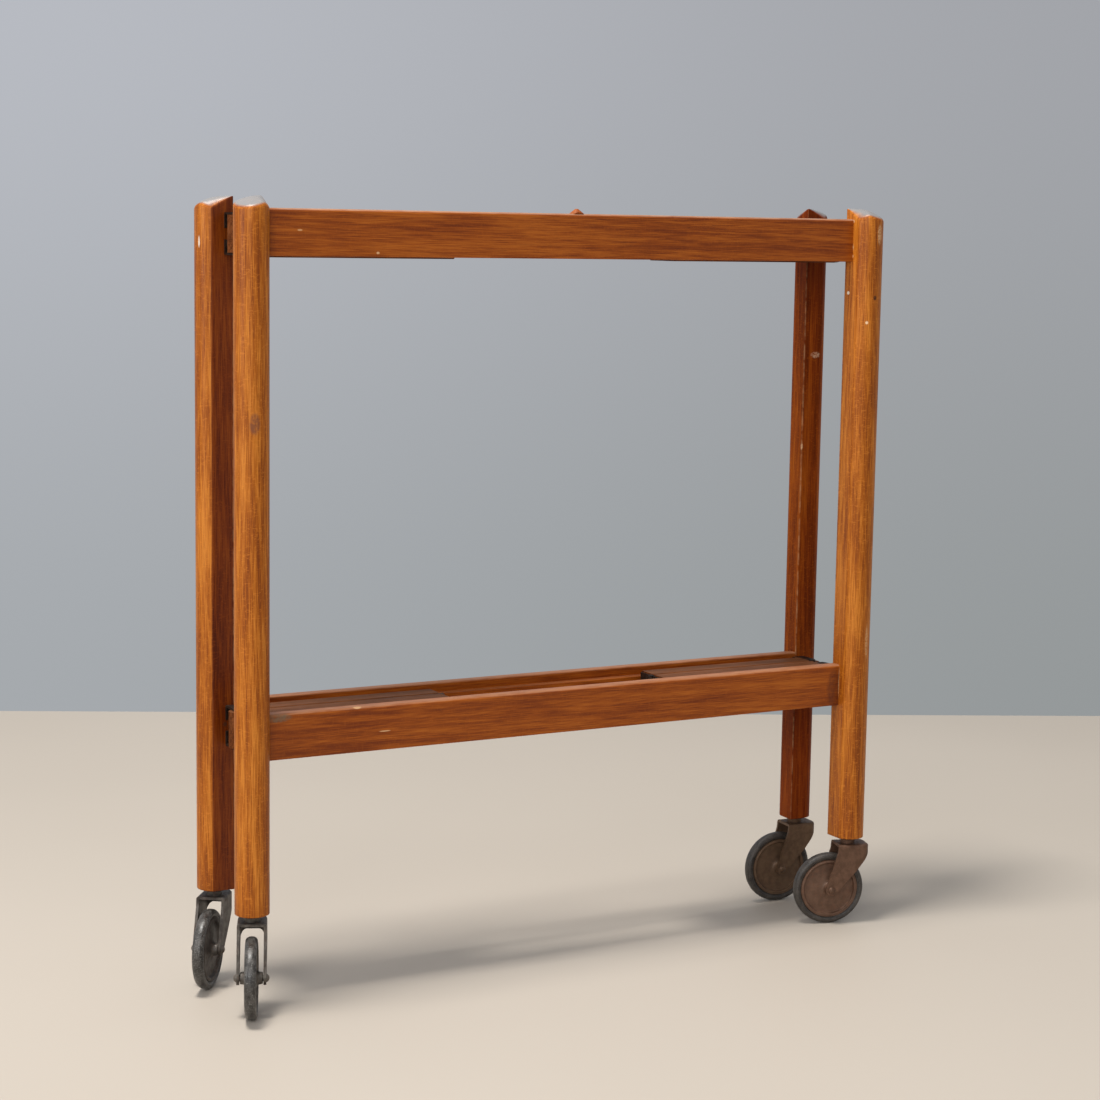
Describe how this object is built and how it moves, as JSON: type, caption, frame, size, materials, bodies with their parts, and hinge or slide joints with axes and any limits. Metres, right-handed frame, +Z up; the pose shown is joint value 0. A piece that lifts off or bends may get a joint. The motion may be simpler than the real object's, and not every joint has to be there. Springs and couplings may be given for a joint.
{
  "type": "folding serving trolley",
  "caption": "Folding oak serving trolley without its trays: leg and rail frames joined by hinged cross bars, on swivel casters.",
  "frame": {"origin": "on the floor, in the middle of the box that the folded trolley fills, casters turned as stored", "axes": "+X along the rails towards the right legs, +Y from the front frame to the back frame, the way the trolley opens, +Z up"},
  "size_m": [0.7234, 0.1732, 0.7419],
  "materials": {
    "oak": "stained and varnished oak, worn at the edges",
    "dark_oak": "darker stained oak, dusty on top",
    "steel": "old plain steel, dull",
    "brown_metal": "brown paint, worn and lightly rusted",
    "tyre": "dark grey rubber"
  },
  "bodies": {
    "front_frame": {"front_left_leg": "oak", "front_right_leg": "oak", "front_top_rail": "oak", "front_lower_rail": "oak", "front_top_ledge": "oak", "front_lower_ledge": "oak", "front_pivot_brackets": "steel", "front_frame_screws": "steel", "front_caster_sockets": "steel", "tray_peg": "oak"},
    "back_frame": {"back_left_leg": "oak", "back_right_leg": "oak", "back_top_rail": "oak", "back_lower_rail": "oak", "back_top_ledge": "oak", "back_lower_ledge": "oak", "back_pivot_brackets": "steel", "back_frame_screws": "steel", "back_caster_sockets": "steel"},
    "top_left_front_bar": {"top_left_front_bar": "dark_oak", "top_left_front_hinge_leaf": "steel", "top_left_hinge_pin": "steel"},
    "top_left_back_bar": {"top_left_back_bar": "dark_oak", "top_left_back_hinge_leaf": "steel"},
    "top_right_front_bar": {"top_right_front_bar": "dark_oak", "top_right_front_hinge_leaf": "steel", "top_right_hinge_pin": "steel"},
    "top_right_back_bar": {"top_right_back_bar": "dark_oak", "top_right_back_hinge_leaf": "steel"},
    "lower_left_front_bar": {"lower_left_front_bar": "dark_oak", "lower_left_front_hinge_leaf": "steel", "lower_left_hinge_pin": "steel"},
    "lower_left_back_bar": {"lower_left_back_bar": "dark_oak", "lower_left_back_hinge_leaf": "steel"},
    "lower_right_front_bar": {"lower_right_front_bar": "dark_oak", "lower_right_front_hinge_leaf": "steel", "lower_right_hinge_pin": "steel"},
    "lower_right_back_bar": {"lower_right_back_bar": "dark_oak", "lower_right_back_hinge_leaf": "steel"},
    "front_left_caster": {"front_left_caster_fork": "brown_metal", "front_left_caster_stem": "steel", "front_left_caster_axle": "steel"},
    "front_left_wheel": {"front_left_wheel_disc": "brown_metal", "front_left_tyre": "tyre"},
    "back_left_caster": {"back_left_caster_fork": "brown_metal", "back_left_caster_stem": "steel", "back_left_caster_axle": "steel"},
    "back_left_wheel": {"back_left_wheel_disc": "brown_metal", "back_left_tyre": "tyre"},
    "front_right_caster": {"front_right_caster_fork": "brown_metal", "front_right_caster_stem": "steel", "front_right_caster_axle": "steel"},
    "front_right_wheel": {"front_right_wheel_disc": "brown_metal", "front_right_tyre": "tyre"},
    "back_right_caster": {"back_right_caster_fork": "brown_metal", "back_right_caster_stem": "steel", "back_right_caster_axle": "steel"},
    "back_right_wheel": {"back_right_wheel_disc": "brown_metal", "back_right_tyre": "tyre"}
  },
  "joints": [
    {"name": "fold", "type": "hinge", "parent": "front_frame", "child": "top_left_front_bar", "pos_m": [-0.31158, 0.00415, 0.7075], "axis": [0, 0, 1], "range_deg": [0, 90]},
    {"name": "top_left_centre_hinge", "type": "hinge", "parent": "top_left_front_bar", "child": "top_left_back_bar", "pos_m": [-0.11013, 0.01615, 0.7075], "axis": [0, 0, 1], "range_deg": [-180, 0]},
    {"name": "top_left_back_pivot", "type": "hinge", "parent": "top_left_back_bar", "child": "back_frame", "pos_m": [-0.31158, 0.02815, 0.7075], "axis": [0, 0, 1], "range_deg": [0, 90]},
    {"name": "top_right_front_pivot", "type": "hinge", "parent": "front_frame", "child": "top_right_front_bar", "pos_m": [0.32742, 0.00415, 0.7075], "axis": [0, 0, 1], "range_deg": [-90, 0]},
    {"name": "top_right_back_pivot", "type": "hinge", "parent": "back_frame", "child": "top_right_back_bar", "pos_m": [0.32742, 0.02815, 0.7075], "axis": [0, 0, 1], "range_deg": [0, 90]},
    {"name": "lower_left_front_pivot", "type": "hinge", "parent": "front_frame", "child": "lower_left_front_bar", "pos_m": [-0.31158, 0.00415, 0.251], "axis": [0, 0, 1], "range_deg": [0, 90]},
    {"name": "lower_left_back_pivot", "type": "hinge", "parent": "back_frame", "child": "lower_left_back_bar", "pos_m": [-0.31158, 0.02815, 0.251], "axis": [0, 0, 1], "range_deg": [-90, 0]},
    {"name": "lower_right_front_pivot", "type": "hinge", "parent": "front_frame", "child": "lower_right_front_bar", "pos_m": [0.32742, 0.00415, 0.251], "axis": [0, 0, 1], "range_deg": [-90, 0]},
    {"name": "lower_right_back_pivot", "type": "hinge", "parent": "back_frame", "child": "lower_right_back_bar", "pos_m": [0.32742, 0.02815, 0.251], "axis": [0, 0, 1], "range_deg": [0, 90]},
    {"name": "front_left_swivel", "type": "hinge", "parent": "front_frame", "child": "front_left_caster", "pos_m": [-0.32428, -0.03305, 0.092], "axis": [0, 0, 1], "continuous": true},
    {"name": "front_left_wheel_spin", "type": "hinge", "parent": "front_left_caster", "child": "front_left_wheel", "pos_m": [-0.33226, -0.05139, 0.0375], "axis": [0.9171, -0.3987, 0], "continuous": true},
    {"name": "back_left_swivel", "type": "hinge", "parent": "back_frame", "child": "back_left_caster", "pos_m": [-0.32428, 0.06535, 0.092], "axis": [0, 0, 1], "continuous": true},
    {"name": "back_left_wheel_spin", "type": "hinge", "parent": "back_left_caster", "child": "back_left_wheel", "pos_m": [-0.33632, 0.04938, 0.0375], "axis": [0.7986, -0.6018, 0], "continuous": true},
    {"name": "front_right_swivel", "type": "hinge", "parent": "front_frame", "child": "front_right_caster", "pos_m": [0.34012, -0.03305, 0.092], "axis": [0, 0, 1], "continuous": true},
    {"name": "front_right_wheel_spin", "type": "hinge", "parent": "front_right_caster", "child": "front_right_wheel", "pos_m": [0.32099, -0.0272, 0.0375], "axis": [-0.2924, -0.9563, 0], "continuous": true},
    {"name": "back_right_swivel", "type": "hinge", "parent": "back_frame", "child": "back_right_caster", "pos_m": [0.34012, 0.06535, 0.092], "axis": [0, 0, 1], "continuous": true},
    {"name": "back_right_wheel_spin", "type": "hinge", "parent": "back_right_caster", "child": "back_right_wheel", "pos_m": [0.32021, 0.06727, 0.0375], "axis": [-0.0958, -0.9954, 0], "continuous": true}
  ],
  "couplings": [
    {"joint": "top_left_centre_hinge", "follows": "fold", "ratio": -2},
    {"joint": "top_left_back_pivot", "follows": "fold", "ratio": 1},
    {"joint": "top_right_front_pivot", "follows": "fold", "ratio": -1},
    {"joint": "top_right_back_pivot", "follows": "fold", "ratio": 1},
    {"joint": "lower_left_front_pivot", "follows": "fold", "ratio": 1},
    {"joint": "lower_left_back_pivot", "follows": "fold", "ratio": -1},
    {"joint": "lower_right_front_pivot", "follows": "fold", "ratio": -1},
    {"joint": "lower_right_back_pivot", "follows": "fold", "ratio": 1}
  ]
}
